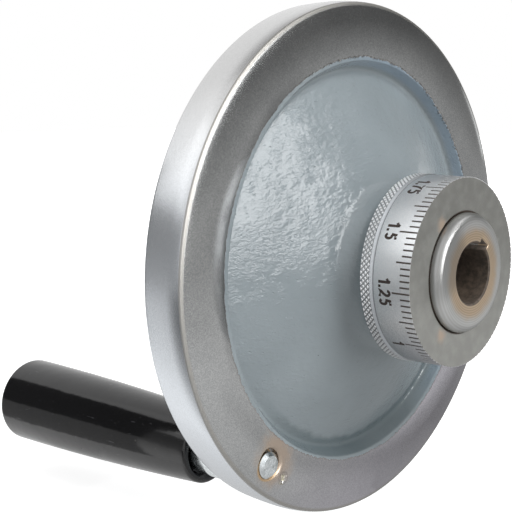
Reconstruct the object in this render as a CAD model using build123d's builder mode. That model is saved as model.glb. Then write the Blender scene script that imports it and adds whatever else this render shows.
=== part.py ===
"""Machine handwheel: a cast wheel, a graduated friction dial on its hub, and a revolving side handle.

All sizes are in millimetres. The wheel turns about the Y axis. The dial and the nose of the hub
point towards -Y, and the handle stands out on the other side, towards +Y. The origin is on the
wheel's axis, in the plane of the machined face of the rim.

A "station" is a distance along the axis, measured from that face towards the nose, so that a
point at station s has y = -s. Profiles are drawn as (radius, station) pairs.
"""
import os
from math import cos, radians, sin

from build123d import *

# ---------------------------------------------------------------- driving dimensions

# rim
wheel_diameter = 160.0
rim_width = 16.0              # front face to back face
rim_face_width = 18.0         # radial width of the machined front face
rim_crest_width = 7.5         # from its inner edge to the crest of its crown
rim_inner_drop = 0.9          # how far the crowned face falls towards its inner edge
rim_face_drop = 1.7           # and towards its outer corner
rim_shoulder_width = 4.6      # axial width of the tighter curve behind the outer corner
rim_shoulder_drop = 0.6
rim_crown_drop = 0.5          # fall of the outer surface from its crown to the back edge
rim_corner_radius = 0.9       # outer front corner
rim_back_radius = 1.6         # outer back corner
rim_inner_radius = 1.3        # inner back corner
rim_back_draft = 1.0          # lean of the wall behind the rim

# web
recess_depth = 4.85           # from the crest of the rim's front face to the foot of the web
recess_draft = 2.65           # how far the recess wall leans in down to that foot
recess_edge_radius = 0.5
recess_root_radius = 1.2
web_thickness = 6.5
web_back_radius = 3.2         # fillets on the operator's side of the web

# hub
boss_diameter = 47.0          # shoulder behind the dial
boss_root_station = 11.0      # where the web runs into the shoulder
boss_root_radius = 7.0
dial_seat_station = 18.7
journal_diameter = 35.3       # turned seat of the dial, and the nose in front of it
nose_station = 39.1
nose_edge_radius = 2.8
hub_back_diameter = 42.0
hub_back_station = -6.0
hub_back_draft = 0.7
hub_back_chamfer = 1.0

# bore
bore_diameter = 18.0
bore_chamfer = 0.4
keyway_angle = 55.5           # from +X towards +Z
keyway_width = 4.4
keyway_depth = 1.6            # beyond the bore

# side handle
handle_inset = 8.5            # handle axis to the outside of the rim
handle_angle = -129.2         # from +X towards +Z
thread_diameter = 8.0
thread_clearance = 0.05
stud_reach = 0.6              # stud end in front of the crest of the rim's face
stud_chamfer = 1.0
hole_mouth_diameter = 9.4     # clearance round the stud's end
hole_mouth_depth = 3.0
hole_mouth_chamfer = 0.9
spindle_chamfer = 0.7         # at the neck and the tail
flange_thickness = 4.0
flange_step = 0.5             # flange to neck, on the radius
shank_diameter = 10.0
shank_clearance = 0.05
grip_base_station = -24.6
grip_length = 86.8
grip_base_diameter = 21.5
grip_middle_diameter = 26.1
grip_end_diameter = 28.0
grip_base_edge = 1.0
grip_end_edge = 1.0
grip_base_wall = 2.8          # around the pocket in the grip's base that takes the spindle's neck
grip_recess_depth = 2.8
grip_recess_clearance = 0.7   # neck to that wall
grip_end_play = 0.2
counterbore_diameter = 17.6
counterbore_depth = 8.0
grip_bore_chamfer = 1.0
washer_diameter = 15.5
washer_thickness = 1.2
washer_clearance = 0.1
clip_thickness = 1.0
clip_groove_depth = 0.2
clip_groove_play = 0.1
clip_seat_clearance = 0.03
clip_band = 1.9               # widest part of the retaining ring
clip_lug_reach = 3.1
clip_lug_width = 2.0
clip_gap = 2.4
clip_hole_diameter = 1.3
clip_offset = 0.5             # inner to outer circle of the retaining ring
spindle_tail = 3.4            # spindle end beyond the retaining ring
driver_slot_width = 1.6
driver_slot_depth = 2.0

# dial
dial_back_gap = 0.2           # dial to the hub's shoulder
dial_width = 16.8
knurl_diameter = 56.5
knurl_width = 3.5
scale_diameter = 56.0
groove_depth = 0.4            # line between the knurled and the graduated band
groove_width = 1.25
dial_clearance = 0.05         # radial, dial on its journal
dial_edge_chamfer = 0.35
dial_bore_chamfer = 0.6
divisions = 100
divisions_per_mid_mark = 5
divisions_per_number = 10
zero_mark_angle = 6.5         # from +X towards +Z
mark_width = 0.45
mark_depth = 0.2
mark_length = 3.2
mid_mark_length = 4.8
number_mark_length = 5.9

# friction spring under the dial
spring_width = 6.0
spring_thickness = 0.6
spring_half_angle = 45.0
spring_floor = 13.6           # height of the flat pocket above the wheel's axis
spring_clearance = 0.15       # crown to the dial
spring_seat_clearance = 0.03
spring_end_margin = 0.7       # free length of the pocket at each end of the spring
spring_side_margin = 0.3
detent_depth = 0.5            # shallow groove in the dial that the spring snaps into

# ---------------------------------------------------------------- derived sizes

wheel_radius = wheel_diameter / 2
rim_inner = wheel_radius - rim_face_width
rim_back_station = -rim_width
recess_foot = (rim_inner - recess_draft, -recess_depth)
boss_radius = boss_diameter / 2
journal_radius = journal_diameter / 2
bore_radius = bore_diameter / 2
web_slope = (boss_root_station + recess_depth) / (recess_foot[0] - boss_radius)
web_axial = web_thickness * (1 + web_slope**2) ** 0.5

mouth_radius = hole_mouth_diameter / 2
handle_radius = wheel_radius - handle_inset
handle_x = handle_radius * cos(radians(handle_angle))
handle_z = handle_radius * sin(radians(handle_angle))
recess_radius = grip_base_diameter / 2 - grip_base_wall
neck_radius = recess_radius - grip_recess_clearance
flange_radius = neck_radius + flange_step
shank_radius = shank_diameter / 2
grip_end_station = grip_base_station - grip_length
recess_floor_station = grip_base_station - grip_recess_depth
neck_end_station = recess_floor_station + grip_end_play
counterbore_station = grip_end_station + counterbore_depth
washer_station = counterbore_station - grip_end_play
clip_station = washer_station - washer_thickness
clip_groove_radius = shank_radius - clip_groove_depth
clip_groove_end = clip_station - clip_thickness - clip_groove_play
spindle_end_station = clip_station - clip_thickness - spindle_tail

dial_back_station = dial_seat_station + dial_back_gap
dial_front_station = dial_back_station + dial_width
dial_bore_radius = journal_radius + dial_clearance
spring_station = (dial_seat_station + dial_front_station) / 2
spring_crown = dial_bore_radius + detent_depth - spring_clearance
spring_slot_width = spring_width + 2 * spring_side_margin
spring_cos = cos(radians(spring_half_angle))
spring_rise = spring_crown - spring_floor - spring_seat_clearance
spring_radius = (spring_rise - spring_thickness * spring_cos) / (1 - spring_cos)
spring_half_length = spring_radius * sin(radians(spring_half_angle))

# The two section planes have local x along the radius and local y along the station.
wheel_section = Plane(origin=(0, 0, 0), x_dir=(1, 0, 0), z_dir=(0, 0, -1))
handle_section = Plane(origin=(handle_x, 0, handle_z), x_dir=(1, 0, 0), z_dir=(0, 0, -1))
wheel_axis = Axis((0, 0, 0), (0, -1, 0))
handle_axis = Axis((handle_x, 0, handle_z), (0, -1, 0))


def wheel_plane(station, angle=0.0):
    """Plane square to the wheel's axis; local z points to the nose, local x at the given angle."""
    turn = radians(angle)
    return Plane(origin=(0, -station, 0), x_dir=(cos(turn), 0, sin(turn)), z_dir=(0, -1, 0))


def handle_plane(station, angle=0.0):
    """The same, with its origin on the handle's axis."""
    turn = radians(angle)
    return Plane(origin=(handle_x, -station, handle_z), x_dir=(cos(turn), 0, sin(turn)), z_dir=(0, -1, 0))


def web_front(radius):
    """Station of the web's front cone at a radius."""
    return boss_root_station - web_slope * (radius - boss_radius)


def corner(sketch, point):
    """The vertex of a sketch that lies at a (radius, station) pair."""
    return sketch.vertices().sort_by_distance(Vector(*point))[0]


# ---------------------------------------------------------------- handwheel casting

inner_edge = (rim_inner, -rim_inner_drop)
crest = (rim_inner + rim_crest_width, 0)
outer_corner = (wheel_radius - rim_shoulder_drop, -rim_face_drop)
crown = (wheel_radius, outer_corner[1] - rim_shoulder_width)
back_corner = (wheel_radius - rim_crown_drop, rim_back_station)
back_inner = (rim_inner + rim_back_draft, rim_back_station)
back_foot = (rim_inner, web_front(rim_inner) - web_axial)
hub_foot = (hub_back_diameter / 2, web_front(hub_back_diameter / 2) - web_axial)
hub_end = (hub_back_diameter / 2 - hub_back_draft, hub_back_station)

with BuildPart() as handwheel:
    with BuildSketch(wheel_section) as casting:
        with BuildLine():
            Polyline(
                (bore_radius, hub_back_station),
                (bore_radius, nose_station),
                (journal_radius, nose_station),
                (journal_radius, dial_seat_station),
                (boss_radius, dial_seat_station),
                (boss_radius, boss_root_station),
                recess_foot,
                inner_edge,
            )
            TangentArc(crest, inner_edge, tangent=(-1, 0))
            TangentArc(crest, outer_corner, tangent=(1, 0))
            TangentArc(crown, outer_corner, tangent=(0, 1))
            TangentArc(crown, back_corner, tangent=(0, -1))
            Polyline(back_corner, back_inner, back_foot, hub_foot, hub_end, (bore_radius, hub_back_station))
        make_face()
        fillet(corner(casting, outer_corner), rim_corner_radius)
        fillet(corner(casting, back_corner), rim_back_radius)
        fillet(corner(casting, back_inner), rim_inner_radius)
        fillet(corner(casting, inner_edge), recess_edge_radius)
        fillet(corner(casting, recess_foot), recess_root_radius)
        fillet(corner(casting, back_foot), web_back_radius)
        fillet(corner(casting, hub_foot), web_back_radius)
        fillet(corner(casting, (boss_radius, boss_root_station)), boss_root_radius)
        fillet(corner(casting, (journal_radius, nose_station)), nose_edge_radius)
        chamfer(corner(casting, hub_end), hub_back_chamfer)
        chamfer(corner(casting, (boss_radius, dial_seat_station)), dial_edge_chamfer)
        chamfer(corner(casting, (bore_radius, nose_station)), bore_chamfer)
        chamfer(corner(casting, (bore_radius, hub_back_station)), bore_chamfer)
    revolve(axis=wheel_axis)

    # keyway, cut through the bore
    with BuildSketch(wheel_plane(nose_station, keyway_angle)):
        with Locations((bore_radius / 2 + keyway_depth / 2, 0)):
            Rectangle(bore_radius + keyway_depth, keyway_width)
    extrude(amount=-(nose_station - hub_back_station), mode=Mode.SUBTRACT)

    # flat pocket for the dial's friction spring, on the handle's side of the journal
    with BuildSketch(wheel_plane(spring_station - spring_slot_width / 2, handle_angle)):
        with Locations((spring_floor, 0)):
            Rectangle(
                journal_radius,
                2 * (spring_half_length + spring_end_margin),
                align=(Align.MIN, Align.CENTER),
            )
    extrude(amount=spring_slot_width, mode=Mode.SUBTRACT)

    # hole for the handle's stud, wider at the front face
    with BuildSketch(handle_plane(0)):
        Circle(thread_diameter / 2 + thread_clearance)
    extrude(amount=-rim_width, mode=Mode.SUBTRACT)
    with BuildSketch(handle_section):
        with BuildLine():
            Polyline(
                (0, rim_face_drop),
                (mouth_radius + hole_mouth_chamfer + rim_face_drop, rim_face_drop),
                (mouth_radius, -hole_mouth_chamfer),
                (mouth_radius, -hole_mouth_depth),
                (0, -hole_mouth_depth),
                close=True,
            )
        make_face()
    revolve(axis=handle_axis, mode=Mode.SUBTRACT)

handwheel.part.label = "handwheel"

# ---------------------------------------------------------------- graduated dial

knurl_radius = knurl_diameter / 2
scale_radius = scale_diameter / 2
knurl_end = dial_back_station + knurl_width
groove_end = knurl_end + groove_width

with BuildPart() as dial_ring:
    with BuildSketch(wheel_section) as ring:
        with BuildLine():
            Polyline(
                (dial_bore_radius, dial_back_station),
                (knurl_radius, dial_back_station),
                (knurl_radius, knurl_end),
                (scale_radius - groove_depth, groove_end - groove_depth),
                (scale_radius, groove_end),
                (scale_radius, dial_front_station),
                (dial_bore_radius, dial_front_station),
                close=True,
            )
        make_face()
        chamfer(corner(ring, (knurl_radius, dial_back_station)), dial_edge_chamfer)
        chamfer(corner(ring, (dial_bore_radius, dial_back_station)), dial_edge_chamfer)
        chamfer(corner(ring, (dial_bore_radius, dial_front_station)), dial_bore_chamfer)
        with Locations((dial_bore_radius, spring_station)):
            Rectangle(2 * detent_depth, spring_slot_width + detent_depth, mode=Mode.SUBTRACT)
    revolve(axis=wheel_axis)

    # engraved marks, which run out through the front edge
    marks = (
        (divisions, mark_length),
        (divisions // divisions_per_mid_mark, mid_mark_length),
        (divisions // divisions_per_number, number_mark_length),
    )
    for count, length in marks:
        with Locations(wheel_plane(dial_front_station, zero_mark_angle)):
            with PolarLocations(scale_radius, count):
                Box(
                    2 * mark_depth,
                    mark_width,
                    length,
                    align=(Align.CENTER, Align.CENTER, Align.MAX),
                    mode=Mode.SUBTRACT,
                )

dial_ring.part.label = "dial_ring"

# ---------------------------------------------------------------- friction spring

# A bowed strip: its ends stand on the floor of the pocket and its crown presses on the dial.
with BuildPart() as dial_spring:
    spring_plane = wheel_plane(spring_station, handle_angle)
    with BuildSketch(spring_plane) as strip:
        with BuildLine():
            inner_radius = spring_radius - spring_thickness
            centre = (spring_crown - spring_radius, 0)
            outer_arc = CenterArc(centre, spring_radius, -spring_half_angle, 2 * spring_half_angle)
            inner_arc = CenterArc(centre, inner_radius, -spring_half_angle, 2 * spring_half_angle)
            Line(outer_arc @ 0, inner_arc @ 0)
            Line(outer_arc @ 1, inner_arc @ 1)
        make_face()
    extrude(amount=spring_width / 2, both=True)

dial_spring.part.label = "dial_spring"

# ---------------------------------------------------------------- revolving grip

grip_middle = (grip_base_station + grip_end_station) / 2
grip_bore_radius = shank_radius + shank_clearance

with BuildPart() as grip:
    with BuildSketch(handle_section) as body:
        with BuildLine():
            ThreePointArc(
                (grip_base_diameter / 2, grip_base_station),
                (grip_middle_diameter / 2, grip_middle),
                (grip_end_diameter / 2, grip_end_station),
            )
            Polyline(
                (grip_end_diameter / 2, grip_end_station),
                (counterbore_diameter / 2, grip_end_station),
                (counterbore_diameter / 2, counterbore_station),
                (grip_bore_radius, counterbore_station),
                (grip_bore_radius, recess_floor_station),
                (recess_radius, recess_floor_station),
                (recess_radius, grip_base_station),
                (grip_base_diameter / 2, grip_base_station),
            )
        make_face()
        fillet(corner(body, (grip_base_diameter / 2, grip_base_station)), grip_base_edge)
        fillet(corner(body, (grip_end_diameter / 2, grip_end_station)), grip_end_edge)
        chamfer(corner(body, (recess_radius, grip_base_station)), grip_bore_chamfer)
        chamfer(corner(body, (counterbore_diameter / 2, grip_end_station)), grip_bore_chamfer)
    revolve(axis=handle_axis)

grip.part.label = "grip"

# ---------------------------------------------------------------- handle spindle

flange_end = rim_back_station - flange_thickness
thread_radius = thread_diameter / 2

with BuildPart() as handle_spindle:
    with BuildSketch(handle_section) as turned:
        with BuildLine():
            Polyline(
                (0, stud_reach),
                (thread_radius, stud_reach),
                (thread_radius, rim_back_station),
                (flange_radius, rim_back_station),
                (flange_radius, flange_end),
                (neck_radius, flange_end - flange_step),
                (neck_radius, neck_end_station),
                (shank_radius, neck_end_station),
                (shank_radius, clip_station),
                (clip_groove_radius, clip_station),
                (clip_groove_radius, clip_groove_end),
                (shank_radius, clip_groove_end),
                (shank_radius, spindle_end_station),
                (0, spindle_end_station),
                close=True,
            )
        make_face()
        chamfer(corner(turned, (thread_radius, stud_reach)), stud_chamfer)
        chamfer(corner(turned, (shank_radius, spindle_end_station)), spindle_chamfer)
        chamfer(corner(turned, (neck_radius, neck_end_station)), spindle_chamfer)
    revolve(axis=handle_axis)

    # driver slot across the tail
    with BuildSketch(handle_plane(spindle_end_station, handle_angle)):
        Rectangle(shank_diameter, driver_slot_width)
    extrude(amount=driver_slot_depth, mode=Mode.SUBTRACT)

handle_spindle.part.label = "handle_spindle"

# ---------------------------------------------------------------- thrust washer

with BuildPart() as thrust_washer:
    with BuildSketch(handle_plane(clip_station)):
        Circle(washer_diameter / 2)
        Circle(shank_radius + washer_clearance, mode=Mode.SUBTRACT)
    extrude(amount=washer_thickness)

thrust_washer.part.label = "thrust_washer"

# ---------------------------------------------------------------- retaining ring

# An external snap ring: widest opposite its gap, with a drilled lug at each side of the gap.
clip_inner_radius = clip_groove_radius + clip_seat_clearance
lug_y = clip_gap / 2 + clip_lug_width / 2

with BuildPart() as retaining_ring:
    with BuildSketch(handle_plane(clip_station, handle_angle)):
        with Locations((-clip_offset, 0)):
            Circle(clip_inner_radius + clip_band - clip_offset)
        for side in (-1, 1):
            with Locations((clip_inner_radius, side * lug_y)):
                Rectangle(clip_lug_reach, clip_lug_width, align=(Align.MIN, Align.CENTER))
        with Locations((clip_inner_radius, 0)):
            Rectangle(2 * clip_lug_reach, clip_gap, mode=Mode.SUBTRACT)
        Circle(clip_inner_radius, mode=Mode.SUBTRACT)
        for side in (-1, 1):
            with Locations((clip_inner_radius + clip_lug_reach / 2, side * lug_y)):
                Circle(clip_hole_diameter / 2, mode=Mode.SUBTRACT)
    extrude(amount=-clip_thickness)

retaining_ring.part.label = "retaining_ring"

# ---------------------------------------------------------------- export

os.makedirs("parts", exist_ok=True)
export_step(handwheel.part, "parts/handwheel.step")
export_step(dial_ring.part, "parts/dial_ring.step")
export_step(dial_spring.part, "parts/dial_spring.step")
export_step(grip.part, "parts/grip.step")
export_step(handle_spindle.part, "parts/handle_spindle.step")
export_step(thrust_washer.part, "parts/thrust_washer.step")
export_step(retaining_ring.part, "parts/retaining_ring.step")
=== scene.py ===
# %% [markdown]
# # A machine handwheel
#
# A cast wheel with a dished, enamelled web stands on its rim. Its rim and nose are ground and
# plated, a graduated steel dial turns on its hub, and a black handle stands out behind it.
# The solids come from the packed frame. This script dresses them: it makes finer surfaces where a
# form needs them, and a finish for every piece.

import math

import bpy
import numpy as np
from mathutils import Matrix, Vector


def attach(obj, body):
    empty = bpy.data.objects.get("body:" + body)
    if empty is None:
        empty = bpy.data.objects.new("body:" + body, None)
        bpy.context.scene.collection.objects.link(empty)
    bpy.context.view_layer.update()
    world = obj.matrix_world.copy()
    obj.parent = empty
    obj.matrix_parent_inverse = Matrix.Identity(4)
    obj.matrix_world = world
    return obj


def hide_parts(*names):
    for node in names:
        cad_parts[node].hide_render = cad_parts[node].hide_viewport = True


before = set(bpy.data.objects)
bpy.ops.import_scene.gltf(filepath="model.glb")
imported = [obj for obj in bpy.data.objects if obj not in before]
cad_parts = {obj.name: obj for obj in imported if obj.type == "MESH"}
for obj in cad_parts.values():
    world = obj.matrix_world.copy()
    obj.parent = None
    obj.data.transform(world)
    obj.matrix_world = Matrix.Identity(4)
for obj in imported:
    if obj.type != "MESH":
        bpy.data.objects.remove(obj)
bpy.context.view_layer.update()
MM = 0.001

# %% [markdown]
# ## The camera
#
# It looks slightly down on the dial's side of the wheel from the left. A camera looks along its own
# -Z with its own +Y up, so a direction turned into a rotation gives it no roll.

# %% Camera
eye_place = Vector((-0.28743, -0.21096, 0.05174))
eye_direction = Vector((0.73860, 0.65940, -0.14021))
sensor_mm, lens_mm, nearest = 36.0, 80.44, 0.01
eye_lens = bpy.data.cameras.new("eye")
eye_lens.sensor_width = sensor_mm
eye_lens.lens = lens_mm
eye_lens.clip_start = nearest
eye = bpy.data.objects.new("eye", eye_lens)
eye.location = eye_place
eye.rotation_euler = eye_direction.to_track_quat("-Z", "Y").to_euler()
bpy.context.scene.collection.objects.link(eye)
bpy.context.scene.camera = eye
print("camera lens", eye_lens.lens, "at", tuple(eye_place))

# %% [markdown]
# ## Arithmetic on shader sockets
#
# A finish is a formula on the place of a point: how far it is from the axis, how near to a hole,
# how noise varies there. Math nodes can say all that, but twenty of them wired by hand are hard to
# read. This small class wraps a socket, so that an ordinary expression adds the nodes.


# %% Wires
class Wire:
    """An output socket of a shader node; sums, products and powers of it are Math nodes."""

    def __init__(self, socket):
        self.socket = socket
        self.tree = socket.id_data

    def node(self, kind, sockets, output=0, stops=None, **settings):
        """A new node: its settings first, then a number, a colour or a wire for each socket."""
        made = self.tree.nodes.new("ShaderNode" + kind)
        for name, value in settings.items():
            setattr(made, name, value)
        if stops:
            ramp = made.color_ramp.elements
            while len(ramp) < len(stops):
                ramp.new(0.5)
            for element, (place, colour) in zip(ramp, stops):
                element.position = place
                element.color = (*colour, 1.0)
        for name, value in sockets.items():
            if isinstance(value, Wire):
                self.tree.links.new(value.socket, made.inputs[name])
            else:
                made.inputs[name].default_value = value
        return Wire(made.outputs[output])

    def math(self, operation, *values):
        """A Math node's result for these numbers or wires."""
        return self.node("Math", dict(enumerate(values)), operation=operation)

    def __add__(self, other):
        return self.math("ADD", self, other)

    def __sub__(self, other):
        return self.math("SUBTRACT", self, other)

    def __rsub__(self, other):
        return self.math("SUBTRACT", other, self)

    def __mul__(self, other):
        return self.math("MULTIPLY", self, other)

    def __truediv__(self, other):
        return self.math("DIVIDE", self, other)

    def __pow__(self, other):
        return self.math("POWER", self, other)

    __radd__ = __add__
    __rmul__ = __mul__

    def rise(self, start, end):
        """0 below start, 1 above end and a smooth step between; falls where end is below start."""
        low, high = min(start, end), max(start, end)
        span = {"Value": self, "From Min": low, "From Max": high}
        step = self.node("MapRange", span, interpolation_type="SMOOTHSTEP")
        return step if start < end else 1.0 - step

    def band(self, start, full, fade, end):
        """1 between full and fade, 0 outside start and end: a rising step times a falling one."""
        return self.rise(start, full) * self.rise(end, fade)

    def noise(self, size, detail=2.0, seed=0.0, roughness=0.5):
        """Fractal noise from 0 to 1 whose features are about this many metres across."""
        sockets = {"Vector": self, "W": seed, "Scale": 1.0 / size, "Detail": detail,
                   "Roughness": roughness}
        return self.node("TexNoise", sockets, noise_dimensions="4D")

    def mix(self, low, high):
        """Colour from low, where this wire is 0, to high, where it is 1."""
        colours = {0: self, 6: rgba(low), 7: rgba(high)}
        return self.node("Mix", colours, output=2, data_type="RGBA")

    def bump(self, depth, under=None):
        """Normal of a surface raised by depth metres times this wire."""
        sockets = {"Height": self, "Distance": depth, "Strength": 1.0}
        if under is not None:
            sockets["Normal"] = under
        return self.node("Bump", sockets)


print("wire methods", [name for name in vars(Wire) if not name.startswith("__")])

# %% [markdown]
# ## Colours, finishes and places
#
# A screen's steps from 0 to 255 aren't light: they are stretched so that dark tones get more of
# them. Shaders count in light, so a tone is turned back first. A place is read from Object
# coordinates, which stay with a piece when it moves, and is then told as a turner would tell it:
# how far from the axis, and how far along it.


# %% Finishes
def rgba(colour):
    """A colour as a socket takes it: a wire stays a wire, and three numbers gain an alpha."""
    return colour if isinstance(colour, Wire) else (*colour, 1.0)


def tone(red, green, blue):
    """Linear colour of a tone in the 0 to 255 steps of a screen: above a short straight foot, each
    share of 255 plus 0.055, over 1.055, to the power 2.4."""
    steps = np.array([red, green, blue]) / 255
    return tuple(np.where(steps <= 0.04045, steps / 12.92, ((steps + 0.055) / 1.055) ** 2.4))


def finish(name):
    """A new material, its principled shader, and a wire with the place of a point in metres."""
    made = bpy.data.materials.new(name)
    made.use_nodes = True
    shader = made.node_tree.nodes["Principled BSDF"]
    place = made.node_tree.nodes.new("ShaderNodeTexCoord")
    return made, shader, Wire(place.outputs["Object"])


def connect(shader, **sockets):
    """Sets or links sockets of the shader; an underscore in a name stands for its space."""
    for name, value in sockets.items():
        socket = shader.inputs[name.replace("_", " ")]
        if isinstance(value, Wire):
            value.tree.links.new(value.socket, socket)
        else:
            socket.default_value = value


def in_mm(place):
    """The x, y and z of a place, in millimetres."""
    parts = place.node("SeparateXYZ", {0: place})
    return [Wire(socket) / MM for socket in parts.socket.node.outputs]


def about_axis(place, centre=(0.0, 0.0)):
    """Distance in millimetres from an axis along Y, station in millimetres (minus y), and the two
    steps across from the axis."""
    x, y, z = in_mm(place)
    across, up = x - centre[0], z - centre[1]
    return (across * across + up * up) ** 0.5, y * -1.0, across, up


print("mid grey, step 128, is this much light:", round(float(tone(128, 128, 128)[0]), 3))

# %% [markdown]
# ## Floor and air
#
# A polished wheel shows what stands around it more than it shows itself, so the studio is made with
# as much care as the metal. The floor is one sheet far wider than the wheel, in a white room. It
# glows a little, most of all behind the wheel and far away, so that it runs into the air without a
# line, and part of the glow is for direct sight alone, so that it doesn't light the rim from below.
# The air is dimmer for matt surfaces than for polished ones. A curved backdrop would hide the line
# too, but it would stand in the way of other views.

# %% Floor and air
wheel_diameter = 160.0
floor_height = -wheel_diameter / 2 * MM
floor_half = 3.0
white = (1.0, 1.0, 1.0, 1.0)
view_turn = math.atan2(eye_direction.y, eye_direction.x)


def stage_piece(name, points, faces, material):
    """A mesh of the studio, which isn't part of the wheel. Points are in metres."""
    mesh = bpy.data.meshes.new(name)
    mesh.from_pydata(points, [], faces)
    mesh.materials.append(material)
    made = bpy.data.objects.new(name, mesh)
    bpy.context.scene.collection.objects.link(made)
    return made


paper, shader, place = finish("white paper")
x, y, _ = in_mm(place)
glow_path = paper.node_tree.nodes.new("ShaderNodeLightPath")
behind = (x * math.cos(view_turn) + y * math.sin(view_turn)).rise(-160, 0)
far = (x * x + y * y) ** 0.5
seen = Wire(glow_path.outputs["Is Camera Ray"])
glow = (behind * 0.48 + far.rise(300, 1500) * 0.30
        + seen * 0.28 + seen * far.rise(300, 900) * 0.5)
connect(shader, Base_Color=(0.82, 0.82, 0.82, 1.0), Roughness=0.9, Emission_Strength=1.0,
        Emission_Color=glow.node("CombineColor", {0: glow, 1: glow, 2: glow}))
floor_corners = [(-floor_half, -floor_half, floor_height), (floor_half, -floor_half, floor_height),
                 (floor_half, floor_half, floor_height), (-floor_half, floor_half, floor_height)]
stage_piece("floor", floor_corners, [(0, 1, 2, 3)], paper)

world = bpy.data.worlds.new("room")
bpy.context.scene.world = world
world.use_nodes = True
air = world.node_tree.nodes["Background"]
air.inputs["Color"].default_value = white
matt = Wire(world.node_tree.nodes.new("ShaderNodeLightPath").outputs["Is Diffuse Ray"])
world.node_tree.links.new((1.0 - matt * 0.6).socket, air.inputs["Strength"])
bpy.context.scene.view_settings.view_transform = "Standard"
print("floor at", floor_height)

# %% [markdown]
# ## Soft boxes
#
# A soft box is a lamp behind cloth: a rectangle that shines evenly. Polished metal mirrors its
# outline, and matt enamel only gathers its light, so there are two kinds here. Boxes in mirrored
# light give the web and the rim their highlights, and boxes hidden from it only brighten what is
# matt. A sky texture round the scene could do both at once, but then no light could be changed by
# itself.


# %% Soft boxes
def soft_box(name, azimuth, elevation, distance, width, height, radiance):
    """A rectangular light that faces the wheel. Angles are as seen from the wheel, azimuth from +X
    towards +Y. Its power is radiance * pi * area, so radiance is what a mirror shows."""
    a, e = math.radians(azimuth), math.radians(elevation)
    out = Vector((math.cos(a) * math.cos(e), math.sin(a) * math.cos(e), math.sin(e)))
    lamp = bpy.data.lights.new(name, "AREA")
    lamp.shape = "RECTANGLE"
    lamp.size, lamp.size_y = width, height
    lamp.energy = radiance * math.pi * width * height
    box = bpy.data.objects.new(name, lamp)
    box.location = out * distance
    box.rotation_euler = (-out).to_track_quat("-Z", "Y").to_euler()
    box.visible_camera = False
    bpy.context.scene.collection.objects.link(box)
    return box


soft_box("front box", -80, 14, 1.2, 0.97, 0.92, 5.6).visible_diffuse = False
soft_box("right box", -1.5, 8.5, 0.45, 0.055, 0.07, 0.7)
soft_box("left box", 143, 35, 0.50, 0.20, 0.22, 0.45)
soft_box("left diffuser", 138, 36, 0.54, 0.46, 0.36, 0.18)
for name, azimuth, elevation, radiance in (("fill box", -86, 12, 4.0), ("key box", -105, 48, 8.6),
                                           ("overhead box", 60, 75, 1.2)):
    soft_box(name, azimuth, elevation, 1.0, 0.5, 0.5, radiance).visible_glossy = False

# %% [markdown]
# ## Black cards
#
# What makes metal look like metal is the dark between its lights, so a studio stands black cards
# near the work, just out of sight. Here the cards are there for mirrored rays, so they throw no
# shadow and hide nothing when the wheel is looked at from another side. A lit black card would
# change with every lamp. These cloths give off a small radiance of their own instead, which may
# differ from place to place, and a reflection can be set without touching the rest. Mats lie on the
# floor, and two sheets of silk hang above as a ceiling. The front mat alone is there for matt
# surfaces too, and takes some of the floor's light from under the wheel.


# %% Cloths
def along(wire, stops):
    """A grey that runs in straight steps through (place, radiance) stops as the wire grows."""
    low, high = stops[0][0], stops[-1][0]
    ramp = [((at - low) / (high - low), (value,) * 3) for at, value in stops]
    return wire.node("ValToRGB", {0: (wire - low) / (high - low)}, stops=ramp)


def glow_alone(shader, glow):
    """Makes a surface black and dull, with nothing to see but this radiance."""
    connect(shader, Base_Color=(0, 0, 0, 1), Specular_IOR_Level=0.0, Emission_Color=glow,
            Emission_Strength=1.0)


def cloth(name, axis, stops):
    """A cloth with (millimetres, radiance) stops along an axis, 0 for x, 1 for y and 2 for z."""
    made, shader, place = finish(name)
    glow_alone(shader, along(in_mm(place)[axis], stops))
    return made


grey_cloth = cloth("grey cloth", 2, [(-80, 0.42), (0, 0.42), (50, 0.31), (100, 0.23), (200, 0.13),
                                     (600, 0.11)])
black_cloth = cloth("black cloth", 2, [(-80, 0.10), (200, 0.10)])
dark_cloth = cloth("dark cloth", 2, [(-80, 0.50), (-30, 0.42), (40, 0.33), (150, 0.30)])
pale_cloth = cloth("pale cloth", 2, [(-80, 0.45), (0, 0.45)])
pale_silk = cloth("pale silk", 1, [(-2400, 1.1), (-500, 1.1)])
dim_silk = cloth("dim silk", 1, [(-500, 0.42), (600, 0.45), (800, 0.62), (900, 0.80), (1100, 1.0)])
dim_felt = cloth("dim felt", 0, [(20, 0.42), (50, 0.36), (90, 0.29), (200, 0.36), (500, 0.38)])
# The base mat behind the wheel glows less towards the right: a painted shadow of the wheel on the
# floor, seen in reflections.
painted_shadow_felt = cloth("base felt", 0, [(-76, 1.12), (-62, 0.95), (-47, 0.80), (-34, 0.68), (0, 0.62),
                                   (60, 0.60)])

# The front mat glows least at the right close to the wheel: a painted shadow of the wheel on the
# floor.
grey_felt, shader, place = finish("grey felt")
x, y, _ = in_mm(place)
left_grey = along(y, [(-500, 0.48), (-260, 0.54), (-150, 0.74), (-60, 0.66), (0, 0.56)])
right_grey = along(y, [(-500, 0.48), (-260, 0.54), (-150, 0.72), (-60, 0.42), (0, 0.24)])
glow_alone(shader, x.rise(-20, 75).mix(left_grey, right_grey))

black_felt, shader, place = finish("black felt")
x, y, _ = in_mm(place)
near_black = along(x, [(-480, 0.18), (-225, 0.18), (-147, 0.33), (-107, 0.55), (-76, 0.70)])
far_pale = along(x, [(-480, 0.55), (-200, 0.85), (-130, 1.00), (-100, 1.20), (-76, 1.22)])
glow_alone(shader, ((y - 10) / (-70 - x)).rise(0.35, 1.15).mix(near_black, far_pale))
print("cloths and felts", len(bpy.data.materials))


# %% Sheets
card_columns = 61
floor_mm = floor_height / MM


def mirrored_only(made):
    """Leaves a piece of the studio to mirrored rays."""
    made.visible_camera = made.visible_diffuse = made.visible_shadow = False
    made.visible_transmission = made.visible_volume_scatter = False
    return made


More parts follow.
